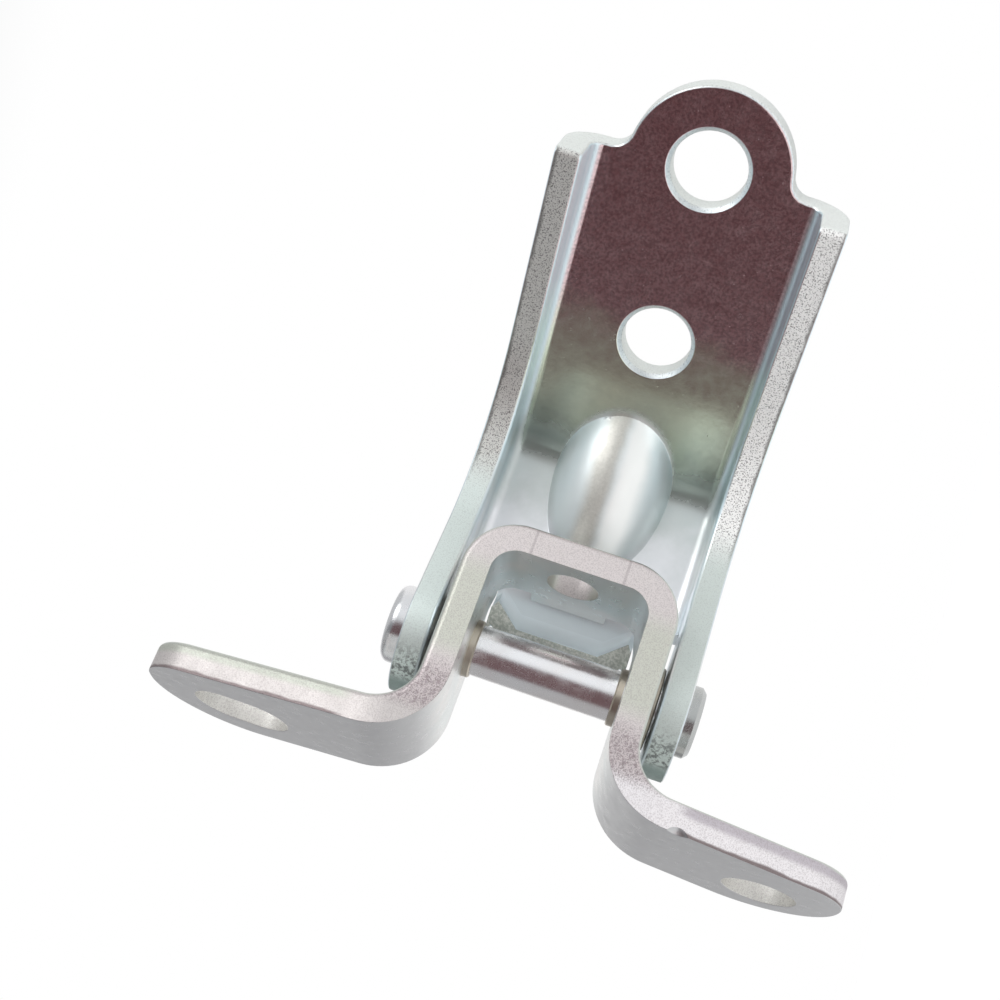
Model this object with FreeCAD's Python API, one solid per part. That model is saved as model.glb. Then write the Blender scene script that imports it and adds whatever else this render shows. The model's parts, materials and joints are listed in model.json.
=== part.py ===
"""Car door hinge: riveted pin hinge of two plate stampings, in millimetres.

Frame: +X is the outward normal of the pillar face that the body bracket is bolted to,
+Z runs along the hinge pin towards its rounded head, Y completes the frame.  The origin
is the middle of the body bracket's round bolt hole, on its mounting face: the round hole
places the part, and the slot at the other foot only lets it turn into line.
"""
import FreeCAD, Part
import math
import os

os.makedirs("parts", exist_ok=True)
V = FreeCAD.Vector

# Plates
BODY_T = 4.5            # body bracket plate
DOOR_T = 4.2            # door bracket plate

# Pin line, from the origin
PIN_X = 20.4            # height of the pin over the mounting face
PIN_Y = -3.1            # the pin stands this far in front of the bolt line
REST_OPEN = 53.6        # degrees the door bracket is open as drawn

# Body bracket
WALL_IN = 12.1          # half of the gap between the walls of the U
WEB_OUT_X = 36.6        # top of the U over the mounting face
WEB_R_IN = 3.9          # inside bend at the top of the U
ROOT_R_IN = 6.5         # bend from wall to foot, on the side of the ears
STRIP_FRONT = -15.4     # front cut edge from the pin, across the strip
STRIP_BACK = 9.5        # back cut edge of the walls
WEB_BACK = 0.2          # back cut edge of the top of the U
WALL_ROUND = 10.3       # round back of the walls, about the pin
TAB_HALF = 6.1          # stop tab on the back edge
TAB_OUT = 3.0
SWEEP = 0.24            # backward sweep of the feet per mm of length
SWEEP_FROM = 21.0
FOOT_END_UP = 56.4      # ends of the feet from the middle of the U
FOOT_END_LOW = 51.3
FOOT_BACK_R = 14.0
FOOT_END_FLAT = 1.0     # straight bit left on a foot's end; its front corner takes the rest
BOLT_R = 5.65           # body bolt holes
BOLT_UP = 41.9
BOLT_LOW = 40.1
SLOT_HALF = 2.0         # half of the straight part of the upper, long hole
WEB_HOLE_R = 4.1        # hole in the top of the U
WEB_HOLE_Y = -7.8
BODY_ROLL = 1.0         # rounded punch side of the blank
NICK_Z = -25.3          # wear: a nick on the front edge under the lower foot
NICK_R = 2.2
NICK_OFF = 1.05         # middle of its ball from the edge, both ways

# Pin and bushes
PIN_R = 4.0
BUSH_R = 4.5
BUSH_FLANGE_R = 6.5
BUSH_FLANGE_T = 0.85
BUSH_IN = 1.1           # how far a bush stands inside the U
RUN_GAP = 0.04          # pin in bush, radial
SIDE_GAP = 0.3          # bush flange to ear
PRESS = 0.01            # press fit, radial
HEAD_UP_R = 6.2
HEAD_UP_T = 3.1
HEAD_LOW_R = 5.6
HEAD_LOW_T = 2.3
HEAD_SOFT = 1.5         # rounding of the rounded head
HEAD_CUT = 0.7          # slope on the edge of the flat head
BUSH_CUT = 0.2          # chamfers of a bush

# Door bracket, drawn closed: u runs up the upper web, w out of it towards its front
WEB_W = -32.8           # front face of the upper web from the pin
CREASE_ANGLE = 52.0     # lower web against the upper one
CREASE_R = 7.5
CHANNEL_R_IN = 2.05
EAR_R = 10.0
SHOULDER_U = 71.8
FLANGE_TOP_W = -24.3
FLANGE_LEAN = 0.1134    # flange edge drops this much per mm towards the waist
FLANGE_CORNER_R = 1.2
EAR_FRONT_ANGLE = 72.1  # front edge of the ear against u
WAIST_R = 24.0
LUG_R = 12.6
LUG_BELOW = -0.4        # middle of the lug below the shoulders
LUG_NECK_R = 3.0
HOLE_OUT_R = 5.8        # outer and inner door bolt hole
HOLE_IN_R = 5.5
HOLE_ROLL = 0.7         # rolled rim on their front: this wide and this deep
HOLE_OVER_LUG = 0.1     # outer hole above the middle of the lug
HOLE_SPACING = 28.7     # between the two door bolt holes
WEB_END = 14.2          # end of the web beside the lip, along it from the point beside the pin
LIP_FROM = 9.6          # curled lip: here its curl starts in the middle
LIP_R = 3.5
LIP_ANGLE = 65.0
LIP_STEP = 3.5          # its sides lie this much higher
LIP_FLAT = 6.8          # half width of the middle, of the slopes' ends and of the lip
LIP_SLOPE = 10.8
LIP_HALF = 11.6
LIP_DROP = 1.4          # outer corners, lower again by this to clear the bends of the U
GUSSET_UP = 12.9        # gusset's reach up the upper web and down the lower one
GUSSET_DOWN = 16.5
BEAD_AT = 15.7          # gusset: a bead round this centre, along the chord and behind it
BEAD_DEEP = 36.5
BEAD_RING = 28.7        # its ring and its tube, front side
BEAD_TUBE = 10.0
BEAD_ROOT = 2.0         # how far the gusset's solid reaches into the plate

wall_out = WALL_IN + BODY_T
ear_in = wall_out + BUSH_FLANGE_T + SIDE_GAP
ear_out = ear_in + DOOR_T
channel_r_out = CHANNEL_R_IN + DOOR_T
lug_u = SHOULDER_U - LUG_BELOW
hole_up_u = lug_u + HOLE_OVER_LUG
hole_low_u = hole_up_u - HOLE_SPACING


def rounded(points, radii):
    """Closed wire through 3-D points of one plane, each corner rounded by its radius."""
    count = len(points)
    starts, ends, arcs = [], [], []
    for k in range(count):
        p = points[k]
        r = radii[k]
        if r == 0:
            starts.append(p)
            ends.append(p)
            arcs.append(None)
            continue
        a = (points[k - 1] - p).normalize()
        b = (points[(k + 1) % count] - p).normalize()
        half = a.getAngle(b) / 2
        reach = r / math.tan(half)
        middle = (a + b).normalize()
        centre = p + middle * (r / math.sin(half))
        starts.append(p + a * reach)
        ends.append(p + b * reach)
        arcs.append(centre - middle * r)
    edges = []
    for k in range(count):
        if arcs[k] is not None:
            edges.append(Part.Arc(starts[k], arcs[k], ends[k]).toShape())
        after = starts[(k + 1) % count]
        if ends[k].distanceToPoint(after) > 1e-6:
            edges.append(Part.makeLine(ends[k], after))
    return Part.Wire(edges)


def prism(points, radii, along):
    return Part.Face(rounded(points, radii)).extrude(along)


def tidy(shape):
    return shape.removeSplitter()


def best_fillet(shape, radius, wanted):
    """Round every edge that wanted(edge) picks, or leave the shape if that fails."""
    edges = [e for e in shape.Edges if wanted(e)]
    if not edges:
        return shape
    try:
        done = shape.makeFillet(radius, edges)
    except Part.OCCError:
        return shape
    return done if done.isValid() and done.Volume > 0 else shape


def body_bracket():
    """Omega strip: two swept feet, two walls and a web, bent from one blank."""
    root_out = ROOT_R_IN + BODY_T
    web_out = WEB_R_IN + BODY_T
    web_in = WEB_OUT_X - BODY_T - PIN_X
    top = WEB_OUT_X - PIN_X
    low = -PIN_X
    foot_top = low + BODY_T
    y0 = STRIP_FRONT - 1
    far = FOOT_BACK_R + FOOT_END_UP
    outline = [(low, -far), (low, -WALL_IN), (web_in, -WALL_IN), (web_in, WALL_IN),
               (low, WALL_IN), (low, far), (foot_top, far), (foot_top, wall_out),
               (top, wall_out), (top, -wall_out), (foot_top, -wall_out), (foot_top, -far)]
    radii = [0, root_out, WEB_R_IN, WEB_R_IN, root_out, 0,
             0, ROOT_R_IN, web_out, web_out, ROOT_R_IN, 0]
    strip = prism([V(x, y0, z) for x, z in outline], radii, V(0, 60, 0))

    def edge_y(base, z):
        return base + SWEEP * max(0.0, abs(z) - SWEEP_FROM)

    # The swept foot's corners aren't square, so each radius reaches its own way along the end.
    skew = math.atan(SWEEP)
    back_reach = FOOT_BACK_R / math.tan(math.pi / 4 - skew / 2)
    front_reach = STRIP_BACK - STRIP_FRONT - FOOT_END_FLAT - back_reach
    foot_front_r = front_reach * math.tan(math.pi / 4 + skew / 2)
    plan = []
    rounds = []
    for z, base, r in ((-FOOT_END_LOW, STRIP_FRONT, foot_front_r), (-SWEEP_FROM, STRIP_FRONT, 20),
                       (SWEEP_FROM, STRIP_FRONT, 20), (FOOT_END_UP, STRIP_FRONT, foot_front_r),
                       (FOOT_END_UP, STRIP_BACK, FOOT_BACK_R), (SWEEP_FROM, STRIP_BACK, 20),
                       (-SWEEP_FROM, STRIP_BACK, 20), (-FOOT_END_LOW, STRIP_BACK, FOOT_BACK_R)):
        plan.append(V(low - 1, edge_y(base, z), z))
        rounds.append(r)
    blank = strip.common(prism(plan, rounds, V(60, 0, 0)))

    # The top of the U is narrower; the walls are round behind the pin.
    reach = 40.0
    keep = Part.makeCylinder(WALL_ROUND, 2 * reach, V(0, 0, -reach), V(0, 0, 1))
    level = math.sqrt(WALL_ROUND ** 2 - STRIP_BACK ** 2)
    for z0, z1, back in ((-reach, -TAB_HALF, WEB_BACK), (-TAB_HALF, TAB_HALF, WEB_BACK + TAB_OUT),
                         (TAB_HALF, reach, WEB_BACK)):
        off = Part.makeBox(60, 60, z1 - z0, V(level, back, z0))
        blank = blank.cut(off.cut(keep))

    blank = tidy(blank)

    def punch_side(edge):
        """Edges on the outer side of the strip, where front or back cut meets the face."""
        box = edge.BoundBox
        if box.XMin > foot_top - 0.01 and box.YLength < (STRIP_BACK - STRIP_FRONT) / 2:
            mid = edge.CenterOfMass
            across = abs(mid.z)
            on_foot = abs(mid.x - foot_top) < 0.01 and across > wall_out + ROOT_R_IN - 0.5
            on_wall = abs(across - wall_out) < 0.01 and box.ZLength < 0.01
            on_top = abs(mid.x - top) < 0.01
            on_root = abs(edge.Length - ROOT_R_IN * math.pi / 2) < 0.4 and across > wall_out
            on_bend = (abs(edge.Length - web_out * math.pi / 2) < 0.4
                       and across > WALL_IN - WEB_R_IN)
            front = abs(mid.y - STRIP_FRONT) < 0.5 or on_foot
            return front and (on_foot or on_wall or on_top or on_root or on_bend)
        return False

    blank = best_fillet(blank, BODY_ROLL, punch_side)

    for z in (BOLT_UP, -BOLT_LOW):
        parts = [0.0] if z < 0 else [-SLOT_HALF, SLOT_HALF]
        drill = None
        for shift in parts:
            one = Part.makeCylinder(BOLT_R, 30, V(low - 5, -PIN_Y, z + shift), V(1, 0, 0))
            drill = one if drill is None else drill.fuse(one)
        if z > 0:
            drill = drill.fuse(Part.makeBox(30, 2 * BOLT_R, 2 * SLOT_HALF,
                                            V(low - 5, -PIN_Y - BOLT_R, z - SLOT_HALF)))
        blank = blank.cut(drill)
    blank = blank.cut(Part.makeCylinder(WEB_HOLE_R, 20, V(web_in - 5, WEB_HOLE_Y, 0), V(1, 0, 0)))
    blank = blank.cut(Part.makeCylinder(BUSH_R, 80, V(0, 0, -40), V(0, 0, 1)))
    nick = V(low - NICK_OFF, edge_y(STRIP_FRONT, NICK_Z) - NICK_OFF, NICK_Z)
    blank = blank.cut(Part.makeSphere(NICK_R, nick))
    return tidy(blank)


def uw(u, w, z=0.0):
    return V(u, -w, z)


def door_bracket():
    """Channel stamping: lug, flanges, crease with a pressed gusset, ears and stop lip."""
    angle = math.radians(CREASE_ANGLE)
    down = (-math.cos(angle), math.sin(angle))      # along the lower web, towards the pin
    front = (math.sin(angle), math.cos(angle))      # out of the lower web, to its front
    offset = EAR_R - DOOR_T                         # front face of the lower web from the pin
    crease_u = (-WEB_W * math.cos(angle) - offset) / math.sin(angle)
    tangent = CREASE_R * math.tan(angle / 2)

    def low_point(t, q, z=0.0):
        """t mm up the lower web from beside the pin, q mm out of its front face."""
        return uw(-t * down[0] + (q - offset) * front[0], -t * down[1] + (q - offset) * front[1], z)

    rise = CHANNEL_R_IN + 1.0
    shape = [(-ear_out, rise), (-ear_out, -DOOR_T), (ear_out, -DOOR_T), (ear_out, rise),
             (ear_in, rise), (ear_in, 0), (-ear_in, 0), (-ear_in, rise)]
    radii = [0, channel_r_out, channel_r_out, 0, 0, CHANNEL_R_IN, CHANNEL_R_IN, 0]
    bend_u = crease_u + tangent
    section = Part.Face(rounded([uw(bend_u, WEB_W + q, z) for z, q in shape], radii))
    upper = section.extrude(V(SHOULDER_U - bend_u, 0, 0))
    bend = section.revolve(uw(bend_u, WEB_W + CREASE_R), V(0, 0, 1), CREASE_ANGLE)
    lower_face = section.copy()
    lower_face.rotate(uw(bend_u, WEB_W + CREASE_R), V(0, 0, 1), CREASE_ANGLE)
    crease_t = math.hypot(crease_u, WEB_W) ** 2 - offset ** 2
    run = math.sqrt(crease_t) - tangent - WEB_END
    lower = lower_face.extrude(V(down[0], -down[1], 0) * run)
    channel = upper.fuse([bend, lower])

    # Flange and ear plates
    r_line = CHANNEL_R_IN
    lean = math.radians(EAR_FRONT_ANGLE)
    touch = (EAR_R * math.sin(lean), EAR_R * math.cos(lean))
    heading = (math.cos(lean), -math.sin(lean))
    # where the ear's front edge meets the flange edge
    k = ((FLANGE_TOP_W - FLANGE_LEAN * (SHOULDER_U - touch[0])) - touch[1]) / (
        heading[1] - FLANGE_LEAN * heading[0])
    waist = (touch[0] + k * heading[0], touch[1] + k * heading[1])
    inner_bend = CREASE_R - r_line
    corner_u = crease_u + r_line * math.tan(angle / 2)
    side = [uw(SHOULDER_U, WEB_W + r_line), uw(SHOULDER_U, FLANGE_TOP_W), uw(*waist),
            uw(*touch), low_point(0, -DOOR_T), low_point(4.5, -DOOR_T),
            low_point(WEB_END - 1.2, r_line - 0.4), low_point(WEB_END + 2, r_line - 0.4),
            low_point(WEB_END + 2, r_line), uw(corner_u, WEB_W + r_line)]
    side_r = [0, FLANGE_CORNER_R, WAIST_R, 0, 0, 2.0, 1.5, 0, 0, inner_bend]
    plates = []
    for z0 in (ear_in, -ear_out):
        face = Part.Face(rounded([p + V(0, 0, z0) for p in side], side_r))
        plate = face.extrude(V(0, 0, DOOR_T))
        disc = Part.makeCylinder(EAR_R, DOOR_T, V(0, 0, z0), V(0, 0, 1))
        plates.append(plate.fuse(disc))
    body = channel.fuse(plates)

    # Lug with concave necks into the shoulders
    neck_u = SHOULDER_U + LUG_NECK_R
    neck_z = math.sqrt((LUG_R + LUG_NECK_R) ** 2 - (neck_u - lug_u) ** 2)
    ratio = LUG_R / (LUG_R + LUG_NECK_R)
    meet_u = lug_u + (neck_u - lug_u) * ratio
    meet_z = neck_z * ratio
    w0 = WEB_W - DOOR_T
    toward = V(meet_u - neck_u, meet_z - neck_z, 0)
    straight = V(-1, 0, 0)
    bisect = (toward.normalize() + straight).normalize() * LUG_NECK_R
    neck_mid = (neck_u + bisect.x, neck_z + bisect.y)
    edges = []
    base_u = SHOULDER_U - 2.0

    def lug_point(u, z):
        return uw(u, w0, z)

    edges.append(Part.makeLine(lug_point(base_u, -neck_z), lug_point(SHOULDER_U, -neck_z)))
    edges.append(Part.Arc(lug_point(SHOULDER_U, -neck_z), lug_point(neck_mid[0], -neck_mid[1]),
                          lug_point(meet_u, -meet_z)).toShape())
    edges.append(Part.Arc(lug_point(meet_u, -meet_z), lug_point(lug_u + LUG_R, 0),
                          lug_point(meet_u, meet_z)).toShape())
    edges.append(Part.Arc(lug_point(meet_u, meet_z), lug_point(neck_mid[0], neck_mid[1]),
                          lug_point(SHOULDER_U, neck_z)).toShape())
    edges.append(Part.makeLine(lug_point(SHOULDER_U, neck_z), lug_point(base_u, neck_z)))
    edges.append(Part.makeLine(lug_point(base_u, neck_z), lug_point(base_u, -neck_z)))
    lug = Part.Face(Part.Wire(edges)).extrude(V(0, -DOOR_T, 0))
    body = body.fuse(lug)

    # Stop lip, curled forward over the pin; its sides step back up the web
    def curl(depth, turn):
        """Point of the lip's section, depth mm behind its front, at a turn in degrees."""
        reach = LIP_R + depth
        swing = math.radians(turn)
        return LIP_FROM - reach * math.sin(swing), LIP_R - reach * math.cos(swing)

    start_t = LIP_FROM + LIP_STEP + 2.0
    inner = [low_point(*curl(0, k * LIP_ANGLE / 2), -LIP_FLAT) for k in (0, 1, 2)]
    outer = [low_point(*curl(DOOR_T, k * LIP_ANGLE / 2), -LIP_FLAT) for k in (2, 1, 0)]
    top_in = low_point(start_t, 0, -LIP_FLAT)
    top_out = low_point(start_t, -DOOR_T, -LIP_FLAT)
    profile = Part.Face(Part.Wire([
        Part.makeLine(top_in, inner[0]), Part.Arc(*inner).toShape(),
        Part.makeLine(inner[2], outer[0]), Part.Arc(*outer).toShape(),
        Part.makeLine(outer[2], top_out), Part.makeLine(top_out, top_in)]))
    up = (low_point(LIP_STEP, 0) - low_point(0, 0))
    lip = [profile.extrude(V(0, 0, 2 * LIP_FLAT))]
    for sign in (-1, 1):
        near = profile.copy()
        near.translate(V(0, 0, 0 if sign < 0 else 2 * LIP_FLAT))
        slope = up + V(0, 0, sign * (LIP_SLOPE - LIP_FLAT))
        lip.append(near.extrude(slope))
        near.translate(slope)
        drop = low_point(-LIP_DROP, 0) - low_point(0, 0)
        lip.append(near.extrude(drop + V(0, 0, sign * (LIP_HALF - LIP_SLOPE))))
    body = tidy(body.fuse(lip))

    # Pressed gusset over the crease
    p1 = V(crease_u + GUSSET_UP, WEB_W, 0)
    p2 = V(crease_u + GUSSET_DOWN * down[0], WEB_W + GUSSET_DOWN * down[1], 0)
    chord = p2 - p1
    along = V(chord.x, chord.y, 0).normalize()
    lift = V(-along.y, along.x, 0)
    if lift.y < 0:
        lift = lift * -1

    def bead(tube):
        middle = p1 + along * BEAD_AT - lift * BEAD_DEEP
        return Part.makeTorus(BEAD_RING, tube, uw(middle.x, middle.y), V(0, 0, 1))

    def beside(root):
        """Prism over the gusset, from root mm inside the plate's front."""
        back = root / math.cos(angle / 2)
        over = lift * (2 * BEAD_TUBE)
        line = [p1 + over, p1 - V(0, root, 0),
                V(crease_u - back * math.sin(angle / 2), WEB_W - back * math.cos(angle / 2), 0),
                p2 - V(front[0], front[1], 0) * root, p2 + over]
        wide = 2 * BEAD_TUBE
        return prism([uw(q.x, q.y, -wide) for q in line], [0] * len(line), V(0, 0, 2 * wide))

    body = body.fuse(bead(BEAD_TUBE).common(beside(BEAD_ROOT)))
    body = body.cut(bead(BEAD_TUBE - DOOR_T).common(beside(2 * DOOR_T)))

    # Door bolt holes with a rolled rim on the front, and the pin holes
    for u, r in ((hole_up_u, HOLE_OUT_R), (hole_low_u, HOLE_IN_R)):
        body = body.cut(Part.makeCylinder(r, 20, uw(u, WEB_W - 10), V(0, -1, 0)))
        flare = Part.makeCone(r, r + HOLE_ROLL, HOLE_ROLL, uw(u, WEB_W - HOLE_ROLL), V(0, -1, 0))
        body = body.cut(flare)
    body = body.cut(Part.makeCylinder(PIN_R - PRESS, 80, V(0, 0, -40), V(0, 0, 1)))
    return tidy(body)


def hinge_pin():
    """Riveted pin, turned: rounded head up, flat spun head below."""
    up = ear_out
    low = -ear_out
    pts = [V(0, 0, low - HEAD_LOW_T), V(HEAD_LOW_R - HEAD_CUT, 0, low - HEAD_LOW_T),
           V(HEAD_LOW_R, 0, low - HEAD_LOW_T + HEAD_CUT), V(HEAD_LOW_R, 0, low), V(PIN_R, 0, low),
           V(PIN_R, 0, up), V(HEAD_UP_R, 0, up), V(HEAD_UP_R, 0, up + HEAD_UP_T),
           V(0, 0, up + HEAD_UP_T)]
    radii = [0, 0, 0, 0, 0, 0, 0, HEAD_SOFT, 0]
    return Part.Face(rounded(pts, radii)).revolve(V(0, 0, 0), V(0, 0, 1), 360)


def bush(sign):
    """Flanged bush, pressed into a wall of the U from outside."""
    inner = sign * (WALL_IN - BUSH_IN)
    outer = sign * (wall_out + BUSH_FLANGE_T)
    face = sign * wall_out
    bore = PIN_R + RUN_GAP
    cut = sign * BUSH_CUT
    pts = [V(bore, 0, inner), V(BUSH_R + PRESS - BUSH_CUT, 0, inner),
           V(BUSH_R + PRESS, 0, inner + cut), V(BUSH_R + PRESS, 0, face),
           V(BUSH_FLANGE_R, 0, face), V(BUSH_FLANGE_R, 0, outer - cut),
           V(BUSH_FLANGE_R - BUSH_CUT, 0, outer), V(bore, 0, outer)]
    return Part.Face(rounded(pts, [0] * len(pts))).revolve(V(0, 0, 0), V(0, 0, 1), 360)


def put(name, shape, opened):
    """Open the door side, move the pin line to its place and write the file."""
    shape = shape.copy()
    if opened:
        shape.rotate(V(0, 0, 0), V(0, 0, 1), -REST_OPEN)
    shape.translate(V(PIN_X, PIN_Y, BOLT_LOW))
    if not shape.isValid() or len(shape.Solids) != 1:
        raise SystemExit("bad solid: %s, %d solids" % (name, len(shape.Solids)))
    shape.Solids[0].exportStep("parts/%s.step" % name)
    box = shape.BoundBox
    print(name, "volume %.0f" % shape.Volume, "X %.1f %.1f" % (box.XMin, box.XMax),
          "Y %.1f %.1f" % (box.YMin, box.YMax), "Z %.1f %.1f" % (box.ZMin, box.ZMax))


put("body_bracket", body_bracket(), False)
put("bush_upper", bush(1), False)
put("bush_lower", bush(-1), False)
put("door_bracket", door_bracket(), True)
put("hinge_pin", hinge_pin(), True)
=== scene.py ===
"""Car door hinge, dressed for the render: bright zinc plate on two stampings, pin and bushes."""
import bmesh
import bpy
import json
import math
from mathutils import Matrix, Vector

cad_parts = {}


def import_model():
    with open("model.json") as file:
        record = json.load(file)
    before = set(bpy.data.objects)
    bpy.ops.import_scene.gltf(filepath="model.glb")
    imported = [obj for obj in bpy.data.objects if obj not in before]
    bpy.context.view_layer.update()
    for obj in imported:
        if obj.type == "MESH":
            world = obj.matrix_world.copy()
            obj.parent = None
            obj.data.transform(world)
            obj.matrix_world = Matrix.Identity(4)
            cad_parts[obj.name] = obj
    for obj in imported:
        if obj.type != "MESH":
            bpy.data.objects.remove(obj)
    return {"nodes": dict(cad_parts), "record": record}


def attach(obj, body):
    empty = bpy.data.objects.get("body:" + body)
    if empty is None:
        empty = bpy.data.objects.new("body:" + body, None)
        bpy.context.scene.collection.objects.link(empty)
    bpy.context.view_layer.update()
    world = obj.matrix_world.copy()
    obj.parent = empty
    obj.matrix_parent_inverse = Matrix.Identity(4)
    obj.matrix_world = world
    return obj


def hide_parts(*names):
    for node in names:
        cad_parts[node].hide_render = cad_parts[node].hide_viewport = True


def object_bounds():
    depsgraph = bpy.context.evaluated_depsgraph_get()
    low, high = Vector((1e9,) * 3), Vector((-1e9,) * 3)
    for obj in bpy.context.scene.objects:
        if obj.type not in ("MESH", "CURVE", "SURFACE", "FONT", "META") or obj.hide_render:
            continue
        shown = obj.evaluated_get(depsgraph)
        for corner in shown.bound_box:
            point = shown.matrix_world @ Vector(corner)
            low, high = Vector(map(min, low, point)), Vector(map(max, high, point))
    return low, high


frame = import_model()
cad_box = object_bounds()

# Places in metres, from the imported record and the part's own sizes
PIN = Vector(frame["record"]["behaviour"]["joints"][0]["pos_m"])
FOOT_TOP = 0.0045                       # upper face of the body bracket's feet
FLAT_FROM = 0.0235                      # the feet are flat from here outwards, counted from the mid-plane
EAR_IN = 0.01775                        # inner face of an ear or flange, counted from the mid-plane
ALONG_WEB = (0.5934, -0.8049, 0.0)      # up the door bracket's upper web
OUT_OF_WEB = (-0.8049, -0.5934, 0.0)    # out of its front
CREASE = 0.0342                         # along the web: the crease, under the middle of the gusset
SHOULDERS = 0.0800                      # along the web: where the flanges end and the lug starts
WEB_HOLES = (0.0869, 0.0582)            # along the web: the two bolt holes
HEADS = 0.0215                          # the pin's heads start here, counted from the mid-plane


def camera():
    """The photograph's view: depth runs along +Y and a little +X, the pin lies across the picture."""
    pitch = math.radians(23.335)
    yaw = math.radians(5.725)
    roll = math.radians(18.274)
    pin_seen_at = Vector((0.006896, 0.026532, 0.236201))
    focal_length = 1.54124
    base = Matrix(((0, 0, -1),
                   (-math.cos(pitch), math.sin(pitch), 0),
                   (math.sin(pitch), math.cos(pitch), 0)))
    turn = Matrix(((math.cos(yaw), 0, math.sin(yaw)), (0, 1, 0), (-math.sin(yaw), 0, math.cos(yaw))))
    spin = Matrix(((math.cos(roll), -math.sin(roll), 0),
                   (math.sin(roll), math.cos(roll), 0), (0, 0, 1)))
    look = spin @ turn @ base
    place = PIN - look.transposed() @ pin_seen_at
    right, down, ahead = look[0], look[1], look[2]
    turned = Matrix((right, -down, -ahead)).transposed().to_4x4()
    data = bpy.data.cameras.new("photo_view")
    data.sensor_fit = "HORIZONTAL"
    data.sensor_width = 36
    data.lens = data.sensor_width * focal_length
    data.clip_start = 0.01
    data.clip_end = 20
    eye = bpy.data.objects.new("photo_view", data)
    eye.matrix_world = Matrix.Translation(place) @ turned
    bpy.context.scene.collection.objects.link(eye)
    bpy.context.scene.camera = eye
    return right, -down, ahead


RIGHT, UP, AHEAD = camera()


class Graph:
    """One node tree, with short names for what it holds. A value is a number, a colour or a socket."""

    def __init__(self, tree):
        self.tree = tree
        tree.nodes.clear()

    def add(self, kind, **values):
        node = self.tree.nodes.new(kind)
        for name, value in values.items():
            setattr(node, name, value)
        return node

    def put(self, value, socket):
        if isinstance(value, (int, float)):
            socket.default_value = value
        elif isinstance(value, tuple):
            socket.default_value = (*value, 1.0)
        else:
            self.tree.links.new(value, socket)

    def math(self, operation, a, b=None, clamp=False):
        node = self.add("ShaderNodeMath", operation=operation, use_clamp=clamp)
        self.put(a, node.inputs[0])
        if b is not None:
            self.put(b, node.inputs[1])
        return node.outputs[0]

    def plus(self, a, b, clamp=False):
        return self.math("ADD", a, b, clamp)

    def minus(self, a, b, clamp=False):
        return self.math("SUBTRACT", a, b, clamp)

    def times(self, a, b, clamp=False):
        return self.math("MULTIPLY", a, b, clamp)

    def most(self, a, b):
        return self.math("MAXIMUM", a, b)

    def size(self, a):
        return self.math("ABSOLUTE", a)

    def over(self, value, low, high):
        """0 below low, 1 above high, smooth between."""
        node = self.add("ShaderNodeMapRange", interpolation_type="SMOOTHSTEP")
        self.put(value, node.inputs["Value"])
        self.put(low, node.inputs["From Min"])
        self.put(high, node.inputs["From Max"])
        return node.outputs["Result"]

    def under(self, value, low, high):
        """1 below low, 0 above high, smooth between."""
        return self.minus(1.0, self.over(value, low, high))

    def band(self, value, low, rise, fall, high):
        """1 between rise and fall, 0 outside low and high."""
        return self.times(self.over(value, low, rise), self.under(value, fall, high))

    def blend(self, factor, a, b, kind="MIX"):
        node = self.add("ShaderNodeMix", data_type="RGBA", blend_type=kind)
        self.put(factor, node.inputs["Factor"])
        self.put(a, node.inputs[6])
        self.put(b, node.inputs[7])
        return node.outputs[2]

    def noise(self, place, scale, detail, rough):
        node = self.add("ShaderNodeTexNoise")
        self.put(scale, node.inputs["Scale"])
        self.put(detail, node.inputs["Detail"])
        self.put(rough, node.inputs["Roughness"])
        self.put(place, node.inputs["Vector"])
        return node.outputs["Fac"]

    def toward(self, vector, axis):
        """How far a direction or place lies along an axis."""
        dot = self.add("ShaderNodeVectorMath", operation="DOT_PRODUCT")
        self.put(vector, dot.inputs[0])
        dot.inputs[1].default_value = axis
        return dot.outputs["Value"]

    def parts(self, vector):
        """X, Y and Z of a direction or place."""
        node = self.add("ShaderNodeSeparateXYZ")
        self.put(vector, node.inputs[0])
        return node.outputs["X"], node.outputs["Y"], node.outputs["Z"]

    def read_surface(self):
        """Where the surface is and which way it faces, in the part's frame and along the upper web."""
        where = self.add("ShaderNodeTexCoord")
        self.place = where.outputs["Object"]
        self.facing = where.outputs["Normal"]
        self.x, self.y, self.z = self.parts(self.place)
        self.face_x, self.face_y, self.face_z = self.parts(self.facing)
        self.off_middle = self.minus(self.z, PIN.z)
        self.aside = self.size(self.off_middle)
        self.high_side = self.over(self.off_middle, -0.001, 0.001)
        self.up_web = self.toward(self.place, ALONG_WEB)
        self.face_front = self.toward(self.facing, OUT_OF_WEB)


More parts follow.
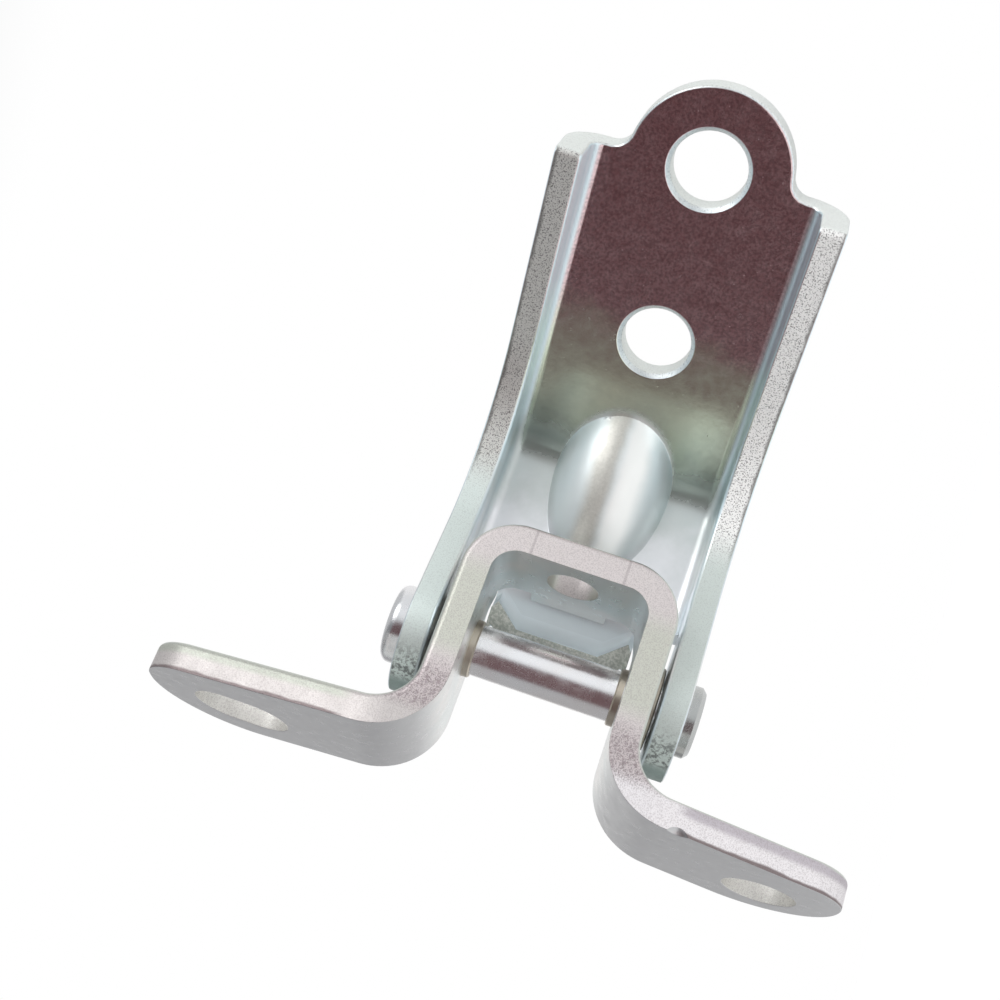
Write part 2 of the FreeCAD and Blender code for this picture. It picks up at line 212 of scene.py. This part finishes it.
def zinc_film():
    """Plating: broad clouds between two tints, fine dark specks, and the rolled plate's faint grain."""
    tree = bpy.data.node_groups.new("zinc_film", "ShaderNodeTree")
    g = Graph(tree)
    for way, kind, names in (("INPUT", "NodeSocketVector", ("Place",)),
                             ("INPUT", "NodeSocketColor", ("Cool", "Warm", "Speck Colour")),
                             ("INPUT", "NodeSocketFloat", ("Specks", "Rough")),
                             ("OUTPUT", "NodeSocketColor", ("Color",)),
                             ("OUTPUT", "NodeSocketFloat", ("Roughness", "Height"))):
        for name in names:
            tree.interface.new_socket(name, in_out=way, socket_type=kind)
    given = g.add("NodeGroupInput").outputs
    out = g.add("NodeGroupOutput").inputs
    clouds = g.noise(given["Place"], 70, 3.0, 0.5)
    tint = g.blend(g.over(clouds, 0.40, 0.60), given["Cool"], given["Warm"])
    grit = g.noise(given["Place"], 1500, 2.0, 0.6)
    patches = g.over(g.noise(given["Place"], 160, 3.0, 0.6), 0.38, 0.62)
    threshold = g.minus(0.76, g.times(g.times(given["Specks"], patches), 0.24))
    specks = g.times(g.minus(grit, threshold), 14, clamp=True)
    specks = g.times(specks, given["Specks"], clamp=True)
    fine = g.noise(given["Place"], 520, 5.0, 0.65)
    rough = g.plus(given["Rough"], g.times(g.minus(fine, 0.5), 0.22))
    g.put(g.blend(specks, tint, given["Speck Colour"]), out["Color"])
    g.put(g.plus(rough, g.times(specks, 0.25), clamp=True), out["Roughness"])
    g.put(g.minus(g.times(fine, 0.7), g.times(specks, 0.5)), out["Height"])
    return tree


FILM = zinc_film()


def plated(name, cool, warm, speck, specks, rough, bump, cut_mask=None, cut_tone=None, tones_and_light=None):
    """Zinc plated steel, made of the zinc film and what is particular to one piece.

    cut_mask picks the blank's sheared edges. cut_tone gives their colour, and how far their torn zinc
    scatters light instead of mirroring it. The last argument gives the faces' colour, painted light and shade
    included, how much smoother they are, and how far they scatter light. It may leave out the last two.
    """
    material = bpy.data.materials.new(name)
    material.use_nodes = True
    g = Graph(material.node_tree)
    out = g.add("ShaderNodeOutputMaterial")
    shader = g.add("ShaderNodeBsdfPrincipled")
    g.put(shader.outputs["BSDF"], out.inputs["Surface"])
    shader.inputs["Metallic"].default_value = 1.0
    g.read_surface()
    film = g.add("ShaderNodeGroup", node_tree=FILM)
    for socket, value in (("Place", g.place), ("Cool", cool), ("Warm", warm), ("Speck Colour", speck),
                          ("Specks", specks), ("Rough", rough)):
        g.put(value, film.inputs[socket])
    colour = film.outputs["Color"]
    roughness = film.outputs["Roughness"]
    height = film.outputs["Height"]
    matt = None
    if tones_and_light:
        colour, polished, matt = tones_and_light(g, colour)
        if polished is not None:
            roughness = g.minus(roughness, g.times(polished, 0.16))
    if cut_mask:
        mask = cut_mask(g)
        torn = g.noise(g.place, 5200, 1.0, 0.5)
        tone, chalk = cut_tone(g, torn)
        colour = g.blend(mask, colour, tone)
        dull = g.times(mask, chalk)
        if matt is not None:
            dull = g.most(dull, matt)
        g.put(g.minus(1.0, dull), shader.inputs["Metallic"])
        roughness = g.plus(roughness, g.times(mask, 0.16), clamp=True)
        height = g.plus(height, g.times(g.times(torn, mask), 1.6))
    g.put(colour, shader.inputs["Base Color"])
    g.put(roughness, shader.inputs["Roughness"])
    dents = g.add("ShaderNodeBump")
    dents.inputs["Strength"].default_value = bump
    dents.inputs["Distance"].default_value = 0.00004
    g.put(height, dents.inputs["Height"])
    g.put(dents.outputs["Normal"], shader.inputs["Normal"])
    return material


def strip_cut(g):
    """Sheared edges of the body strip: what faces Y, and on the feet also their ends and hole walls."""
    sides = g.over(g.size(g.face_y), 0.55, 0.9)
    through_foot = g.times(g.under(g.x, FOOT_TOP - 0.0001, FOOT_TOP + 0.0002),
                           g.under(g.size(g.face_x), 0.2, 0.6))
    return g.most(sides, through_foot)


def strip_tone(g, torn):
    """Colour of the strip's sheared edge, laid on from the broad zones to the marks."""
    pinkish, cream = (0.72, 0.67, 0.66), (0.62, 0.63, 0.56)
    walls = g.band(g.x, 0.012, 0.016, 0.026, 0.031)
    tone = g.blend(walls, pinkish, cream)
    far_foot = g.over(g.off_middle, -0.005, 0.005)
    feet = g.under(g.x, 0.004, 0.007)
    foot = g.blend(far_foot, (0.88, 0.85, 0.86), (0.61, 0.575, 0.56))
    tone = g.blend(feet, tone, foot)
    # The punch rolled the upper part of the feet's edges over; that band is painted darker, mauve on one side
    # and green on the other, as shade. A ragged dark line runs along the bottom edge
    flat = g.over(g.aside, FLAT_FROM, FLAT_FROM + 0.003)
    rolled = g.times(flat, g.over(g.x, 0.0022, 0.0032))
    mauve_or_green = g.blend(far_foot, (0.50, 0.46, 0.50), (0.50, 0.53, 0.46))
    tone = g.blend(g.times(rolled, 0.85), tone, mauve_or_green)
    ragged = g.minus(g.x, g.times(g.noise(g.place, 240, 2.0, 0.5), 0.0008))
    bottom = g.under(ragged, -0.0001, 0.0003)
    tone = g.blend(g.times(bottom, flat), tone, (0.22, 0.18, 0.18))
    hole_walls = g.times(feet, g.under(g.size(g.y), 0.0060, 0.0062))
    tone = g.blend(hole_walls, tone, (0.84, 0.83, 0.79))
    # Mauve, mottled stretch in the bends between feet and walls
    bends = g.band(g.x, 0.0035, 0.0060, 0.0090, 0.0140)
    tone = g.blend(g.times(bends, 0.35), tone, (0.40, 0.31, 0.34))
    blots = g.over(g.noise(g.place, 1300, 4.0, 0.65), 0.46, 0.64)
    tone = g.blend(g.times(g.times(blots, bends), 0.55), tone, (0.16, 0.10, 0.12))
    # Two marks of the bending tool across the top of the U
    marks = g.times(g.band(g.aside, 0.0069, 0.0071, 0.0073, 0.0075), g.over(g.x, 0.030, 0.031))
    tone = g.blend(g.times(marks, 0.45), tone, (0.40, 0.35, 0.36))
    amount = g.plus(g.times(bends, 0.6), 0.35)
    specks = g.times(g.over(torn, 0.40, 0.70), amount)
    return g.blend(specks, tone, (0.30, 0.26, 0.26)), 0.40


def flange_cut(g):
    """Sheared edges of the channel: flanges and ears off the pin's direction, rims of lug and holes."""
    edge = g.under(g.size(g.face_z), 0.1, 0.45)
    flange = g.times(edge, g.over(g.aside, EAR_IN, EAR_IN + 0.0003))
    lug = g.times(g.over(g.up_web, 0.0450, 0.0460), g.under(g.aside, 0.0130, 0.0136))
    shoulder = g.times(g.over(g.up_web, SHOULDERS, SHOULDERS + 0.0010),
                       g.over(g.toward(g.facing, ALONG_WEB), 0.4, 0.8))
    rim = g.times(g.most(lug, shoulder), g.under(g.size(g.face_front), 0.45, 0.93))
    return g.most(flange, rim)


def flange_tone(g, torn):
    """Colour of the channel's sheared edge: smooth and pale on the ears, speckled above them."""
    upper = g.over(g.up_web, 0.031, 0.037)
    # The low side's rim is painted near white and the high side's grey: painted reflection
    rim = g.blend(g.high_side, (1.0, 1.0, 0.98), (0.68, 0.68, 0.65))
    # A dark line along the outer edge is painted shade, where the rolled-over edge turns away
    ragged = g.plus(g.aside, g.times(g.noise(g.place, 260, 3.0, 0.6), 0.0012))
    outer_line = g.over(ragged, EAR_IN + 0.0040, EAR_IN + 0.0045)
    rim = g.blend(g.times(outer_line, 0.80), rim, (0.20, 0.20, 0.19))
    ends = g.times(g.over(g.up_web, 0.0450, 0.0460), g.under(g.face_front, 0.3, 0.8))
    rim = g.blend(ends, rim, (0.80, 0.83, 0.80))
    ear = g.blend(g.high_side, (0.65, 0.71, 0.68), (0.72, 0.79, 0.76))
    tone = g.blend(upper, ear, rim)
    # The ears' rounded ends are painted darker and greenish at the tip, as shade where the end turns, with a
    # dark mottled stretch over it
    tips = g.under(g.up_web, 0.0108, 0.0132)
    tone = g.blend(g.times(tips, 0.85), tone, (0.30, 0.38, 0.36))
    blots = g.over(g.noise(g.place, 1300, 4.0, 0.65), 0.44, 0.60)
    mottled = g.times(blots, g.band(g.up_web, 0.0112, 0.0132, 0.0150, 0.0195))
    tone = g.blend(g.times(mottled, 0.75), tone, (0.10, 0.10, 0.10))
    amount = g.minus(g.plus(g.times(upper, 0.75), 0.15), g.times(ends, 0.70), clamp=True)
    specks = g.times(g.over(torn, 0.52, 0.66), amount)
    chalk = g.most(g.times(upper, g.minus(0.95, g.times(g.high_side, 0.45))), 0.35)
    return g.blend(specks, tone, (0.16, 0.15, 0.15)), chalk


def on_gusset(g):
    """1 on the gusset: an oval over the crease, 23 mm along the web and 19 mm along the pin."""
    along = g.math("DIVIDE", g.minus(g.up_web, CREASE), 0.0116)
    across = g.math("DIVIDE", g.off_middle, 0.0095)
    reach = g.plus(g.math("POWER", along, 2.0), g.math("POWER", across, 2.0))
    return g.under(reach, 0.75, 1.10)


def web_tones_and_light(g, colour):
    """Faces of the channel: brown down to the inner hole, olive below it, pale past the crease.

    The brown and olive on the web's front are partly a passivation tint and partly painted reflection, and
    that front is smoother. The flanges' inner faces and the lip are painted light blue as reflection, the
    crease and the lip's brink are painted darker as shade, and the gusset has a painted highlight beside a
    ridge that is partly rubbed and partly painted shade. The plate scatters light at the crease and on the
    gusset, where the press stretched its plating, on the inner face of the high side's flange, and most on
    the curled lip.
    """
    drift = g.minus(g.noise(g.place, 110, 4.0, 0.6), 0.5)
    grain = g.noise(g.place, 2200, 2.0, 0.6)
    up_web = g.plus(g.up_web, g.times(drift, 0.012))
    # Brown and olive on the web's front: partly a passivation tint, partly painted reflection
    brown = g.blend(g.over(grain, 0.40, 0.62), (0.74, 0.55, 0.56), (0.54, 0.40, 0.41))
    olive = g.blend(g.over(up_web, 0.034, 0.050), (0.30, 0.35, 0.32), (0.76, 0.84, 0.68))
    tint_and_reflection = g.blend(g.over(up_web, 0.0545, 0.0625), olive, brown)
    front = g.times(g.over(g.face_front, 0.80, 0.97), g.over(up_web, 0.020, 0.030))

    # The flanges' inner faces are painted light blue: painted reflection
    flange = g.times(g.over(g.size(g.face_z), 0.25, 0.75), g.over(up_web, 0.030, 0.040))
    colour = g.blend(flange, colour, (0.80, 0.93, 0.98))
    between = g.under(g.aside, EAR_IN - 0.00095, EAR_IN - 0.00015)
    lower = g.times(between, g.under(up_web, 0.028, 0.036))
    colour = g.blend(lower, colour, (0.80, 0.81, 0.83))
    # The crease is painted darker: painted shade
    bend = g.times(between, g.band(up_web, 0.024, 0.031, 0.035, 0.040))
    colour = g.blend(g.times(bend, 0.6), colour, (0.48, 0.53, 0.50))

    gusset = on_gusset(g)
    colour = g.blend(gusset, colour, (0.74, 0.79, 0.79))
    # Down the gusset: a darker ridge, partly rubbed and partly painted shade, and on the low side a painted
    # highlight
    waver = g.plus(g.off_middle, g.times(drift, 0.002))
    ridge = g.times(gusset, g.band(waver, -0.0010, 0.0008, 0.0024, 0.0046))
    ridge_wear_and_shade = g.blend(grain, (0.40, 0.38, 0.33), (0.66, 0.63, 0.57))
    colour = g.blend(g.times(ridge, 0.8), colour, ridge_wear_and_shade)
    painted_highlight = g.times(gusset, g.band(waver, -0.0058, -0.0036, -0.0016, 0.0002))
    colour = g.blend(painted_highlight, colour, (0.94, 0.95, 0.93))

    # The lip is painted light blue, painted light and reflection brighter than its shaded place, with a dark
    # brink painted as shade and a chipped grey sheared face at its front
    lip = g.times(between, g.under(g.x, 0.0315, 0.0350))
    colour = g.blend(lip, colour, (0.86, 0.96, 1.0))
    lip_front = g.times(lip, g.under(g.face_y, -0.5, -0.3))
    downwards = g.times(g.face_x, -1.0)
    brink = g.times(lip_front, g.band(downwards, 0.02, 0.06, 0.20, 0.28))
    colour = g.blend(brink, colour, (0.22, 0.27, 0.27))
    chips = g.over(g.noise(g.place, 2000, 3.0, 0.6), 0.36, 0.66)
    sheared = g.times(lip_front, g.over(downwards, 0.24, 0.32))
    colour = g.blend(sheared, colour, g.blend(chips, (0.48, 0.52, 0.47), (0.76, 0.78, 0.73)))

    stretched = g.times(between, g.band(up_web, 0.020, 0.030, 0.036, 0.041))
    matt = g.most(g.times(stretched, 0.50), g.times(gusset, 0.40))
    matt = g.most(matt, g.times(lip, 0.90))
    matt = g.most(matt, g.times(g.times(flange, g.high_side), 0.45))
    smooth = g.times(front, g.minus(1.0, gusset))
    return g.blend(smooth, colour, tint_and_reflection), smooth, matt


def pin_ends(g, colour):
    """The riveted heads are duller than the shank, the flat one at low Z most."""
    colour = g.blend(g.under(g.off_middle, -HEADS - 0.001, -HEADS), colour, (0.50, 0.51, 0.50))
    return g.blend(g.over(g.off_middle, HEADS, HEADS + 0.001), colour, (0.78, 0.78, 0.79)), None, None


def foot_faces(g, colour):
    """Painted shade: the blank's rolled-over edge is darker and greener, and the undersides of feet and bends
    are an even grey, darker up in the bends.
    """
    # Rolled-over edges painted darker and greener: painted shade
    rolled = g.band(g.size(g.face_y), 0.10, 0.30, 0.70, 0.90)
    colour = g.blend(rolled, colour, (0.56, 0.59, 0.54))
    # Faces turned down painted an even grey, darker in the bends: painted shade
    underside = g.times(g.under(g.face_x, -0.7, -0.2), g.under(g.x, 0.008, 0.013))
    grey = g.blend(g.over(g.x, 0.0005, 0.0035), (0.58, 0.58, 0.585), (0.44, 0.44, 0.445))
    return g.blend(underside, colour, grey), None, None


finishes = {
    "body_plate": plated("body_plate_zinc", cool=(0.72, 0.75, 0.74), warm=(0.78, 0.76, 0.74),
                         speck=(0.40, 0.35, 0.34), specks=0.30, rough=0.30, bump=0.5,
                         cut_mask=strip_cut, cut_tone=strip_tone, tones_and_light=foot_faces),
    "door_plate": plated("door_plate_zinc", cool=(0.70, 0.77, 0.80), warm=(0.77, 0.80, 0.79),
                         speck=(0.34, 0.34, 0.34), specks=0.35, rough=0.38, bump=0.5,
                         cut_mask=flange_cut, cut_tone=flange_tone, tones_and_light=web_tones_and_light),
    "pin_steel": plated("pin_steel_zinc", cool=(0.97, 0.97, 0.98), warm=(0.94, 0.91, 0.90),
                        speck=(0.50, 0.36, 0.34), specks=0.25, rough=0.27, bump=0.25, tones_and_light=pin_ends),
    "bush_metal": plated("bush_bronze", cool=(0.60, 0.54, 0.45), warm=(0.52, 0.47, 0.40),
                         speck=(0.25, 0.20, 0.16), specks=0.3, rough=0.38, bump=0.4),
}
slot_of = {s["node"]: s["material_slot"] for s in frame["record"]["subparts"]}
body_of = {n: b for b, names in frame["record"]["behaviour"]["bodies"].items() for n in names}

# Rounding of sharp edges, in mm
TUMBLED = 0.28      # by tumbling, everywhere
ROLLED = 0.6        # by the punch, on the channel's front
REAMED = 0.10       # in its bores and bolt holes, and at the gusset's root
HIDDEN = 0.05       # at the web's end beside the lip


def channel_edge(edge):
    """Rounding of one edge of the channel: widest on the front of lug and flanges, least at the web's end."""
    middle = (edge.verts[0].co + edge.verts[1].co) / 2
    facing = [face.normal for face in edge.link_faces]
    side = 1 if middle.z > PIN.z else -1
    aside = abs(middle.z - PIN.z)
    up_web = middle.dot(Vector(ALONG_WEB))
    from_pin = math.hypot(middle.x - PIN.x, middle.y - PIN.y)
    from_hole = min(math.hypot(up_web - hole, aside) for hole in WEB_HOLES)
    if middle.x > 0.028 and middle.y > -0.004:
        return HIDDEN
    if from_pin < 0.006 or from_hole < 0.0070 or (0.020 < up_web < 0.048 and aside < 0.0120):
        return REAMED
    if up_web < 0.030 and aside < EAR_IN - 0.0005:
        return TUMBLED
    if aside > 0.0180 and any(normal.z * side > 0.5 for normal in facing):
        return TUMBLED
    if any(normal.z * side < -0.5 or normal.dot(Vector(OUT_OF_WEB)) > 0.5 for normal in facing):
        return ROLLED
    return TUMBLED


def skin(node, limited, rounding=None):
    """The stamping's own faces, merged, with each sharp edge rounded: tumbled, or by rounding(edge) in mm."""
    mesh = frame["nodes"][node].data.copy()
    mesh.name = node + "_skin"
    work = bmesh.new()
    work.from_mesh(mesh)
    bmesh.ops.remove_doubles(work, verts=work.verts, dist=2e-6)
    bmesh.ops.dissolve_limit(work, angle_limit=math.radians(0.6), verts=work.verts, edges=work.edges)
    work.normal_update()
    share = work.edges.layers.float.new("bevel_weight_edge")
    for edge in work.edges:
        if len(edge.link_faces) == 2 and edge.calc_face_angle(0.0) > math.radians(32):
            edge[share] = (rounding(edge) if rounding else TUMBLED) / ROLLED
    for face in work.faces:
        face.smooth = True
    work.to_mesh(mesh)
    work.free()
    mesh.materials.clear()
    mesh.materials.append(finishes[slot_of[node]])
    piece = bpy.data.objects.new(node + "_skin", mesh)
    bpy.context.scene.collection.objects.link(piece)
    round_off = piece.modifiers.new("tumbled_edges", "BEVEL")
    round_off.width = ROLLED / 1000
    round_off.segments = 4
    round_off.limit_method = "WEIGHT"
    round_off.use_clamp_overlap = limited
    round_off.harden_normals = True
    even = piece.modifiers.new("even_flats", "WEIGHTED_NORMAL")
    even.mode = "FACE_AREA"
    even.weight = 100
    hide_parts(node)
    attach(piece, body_of[node])


skin("body_bracket", limited=True)
skin("door_bracket", limited=False, rounding=channel_edge)
for name in ("hinge_pin", "bush_upper", "bush_lower"):
    kept = frame["nodes"][name]
    if not kept.material_slots:
        kept.data.materials.append(None)
    for place in kept.material_slots:
        place.material = finishes[slot_of[name]]


def stage_floor():
    """Pale floor below the part, which is held by its bolt and doesn't rest on it."""
    drop = 0.10
    bpy.ops.mesh.primitive_plane_add(size=0.9, location=(0.05, 0, cad_box[0][2] - drop))
    floor = bpy.context.object
    floor.name = "floor"
    material = bpy.data.materials.new("pale_floor")
    material.use_nodes = True
    g = Graph(material.node_tree)
    out = g.add("ShaderNodeOutputMaterial")
    plain = g.add("ShaderNodeBsdfDiffuse")
    plain.inputs["Color"].default_value = (0.8, 0.8, 0.8, 1)
    glow = g.add("ShaderNodeEmission")
    ray = g.add("ShaderNodeLightPath").outputs
    mirrored = g.times(g.most(ray["Is Glossy Ray"], ray["Is Transmission Ray"]), 0.45)
    seen = g.times(ray["Is Camera Ray"], 0.54)
    g.put(g.most(mirrored, seen), glow.inputs["Strength"])
    both = g.add("ShaderNodeAddShader")
    g.put(plain.outputs[0], both.inputs[0])
    g.put(glow.outputs[0], both.inputs[1])
    g.put(both.outputs[0], out.inputs["Surface"])
    floor.data.materials.append(material)


def world():
    """White room above, grey below, dimmer at both sides and in front, with one dark card low in front."""
    room = bpy.data.worlds.new("studio")
    bpy.context.scene.world = room
    room.use_nodes = True
    g = Graph(room.node_tree)
    out = g.add("ShaderNodeOutputWorld")
    light = g.add("ShaderNodeBackground")
    ray = g.add("ShaderNodeTexCoord").outputs["Generated"]
    shade = g.blend(g.over(g.toward(ray, (1, 0, 0)), -0.40, 0.02), (0.40, 0.40, 0.41), (1.0, 1.0, 1.0))
    sides = g.over(g.size(g.toward(ray, (0, 0, 1))), 0.42, 0.62)
    shade = g.blend(sides, shade, (0.62, 0.63, 0.64), "MULTIPLY")
    front = g.over(g.toward(ray, (0, -1, 0)), -0.25, 0.85)
    shade = g.blend(front, shade, (0.84, 0.86, 0.88), "MULTIPLY")
    card = g.over(g.toward(ray, (-0.743, -0.669, 0)), 0.79, 0.88)
    shade = g.blend(card, shade, (0.13, 0.075, 0.08))
    g.put(shade, light.inputs["Color"])
    light.inputs["Strength"].default_value = 1.0
    g.put(light.outputs[0], out.inputs["Surface"])


def softbox(name, aside, above, before, size, watts, mirrored=True):
    """Area light placed from the photograph's view: to its right, above, and towards the viewer."""
    data = bpy.data.lights.new(name, "AREA")
    data.size = size
    data.energy = watts
    lamp = bpy.data.objects.new(name, data)
    lamp.visible_glossy = mirrored
    part_middle = Vector((0.045, -0.015, 0.040))
    spot = part_middle + RIGHT * aside + UP * above - AHEAD * before
    lamp.location = spot
    lamp.rotation_euler = (part_middle - spot).to_track_quat("-Z", "Y").to_euler()
    bpy.context.scene.collection.objects.link(lamp)


stage_floor()
world()
softbox("key_softbox", aside=-0.35, above=0.45, before=0.35, size=0.35, watts=1.4)
softbox("fill_softbox", aside=0.45, above=0.10, before=0.35, size=0.40, watts=0.8)
softbox("front_softbox", aside=0.0, above=-0.05, before=0.55, size=0.25, watts=0.9, mirrored=False)

bpy.context.scene.view_settings.view_transform = "Standard"
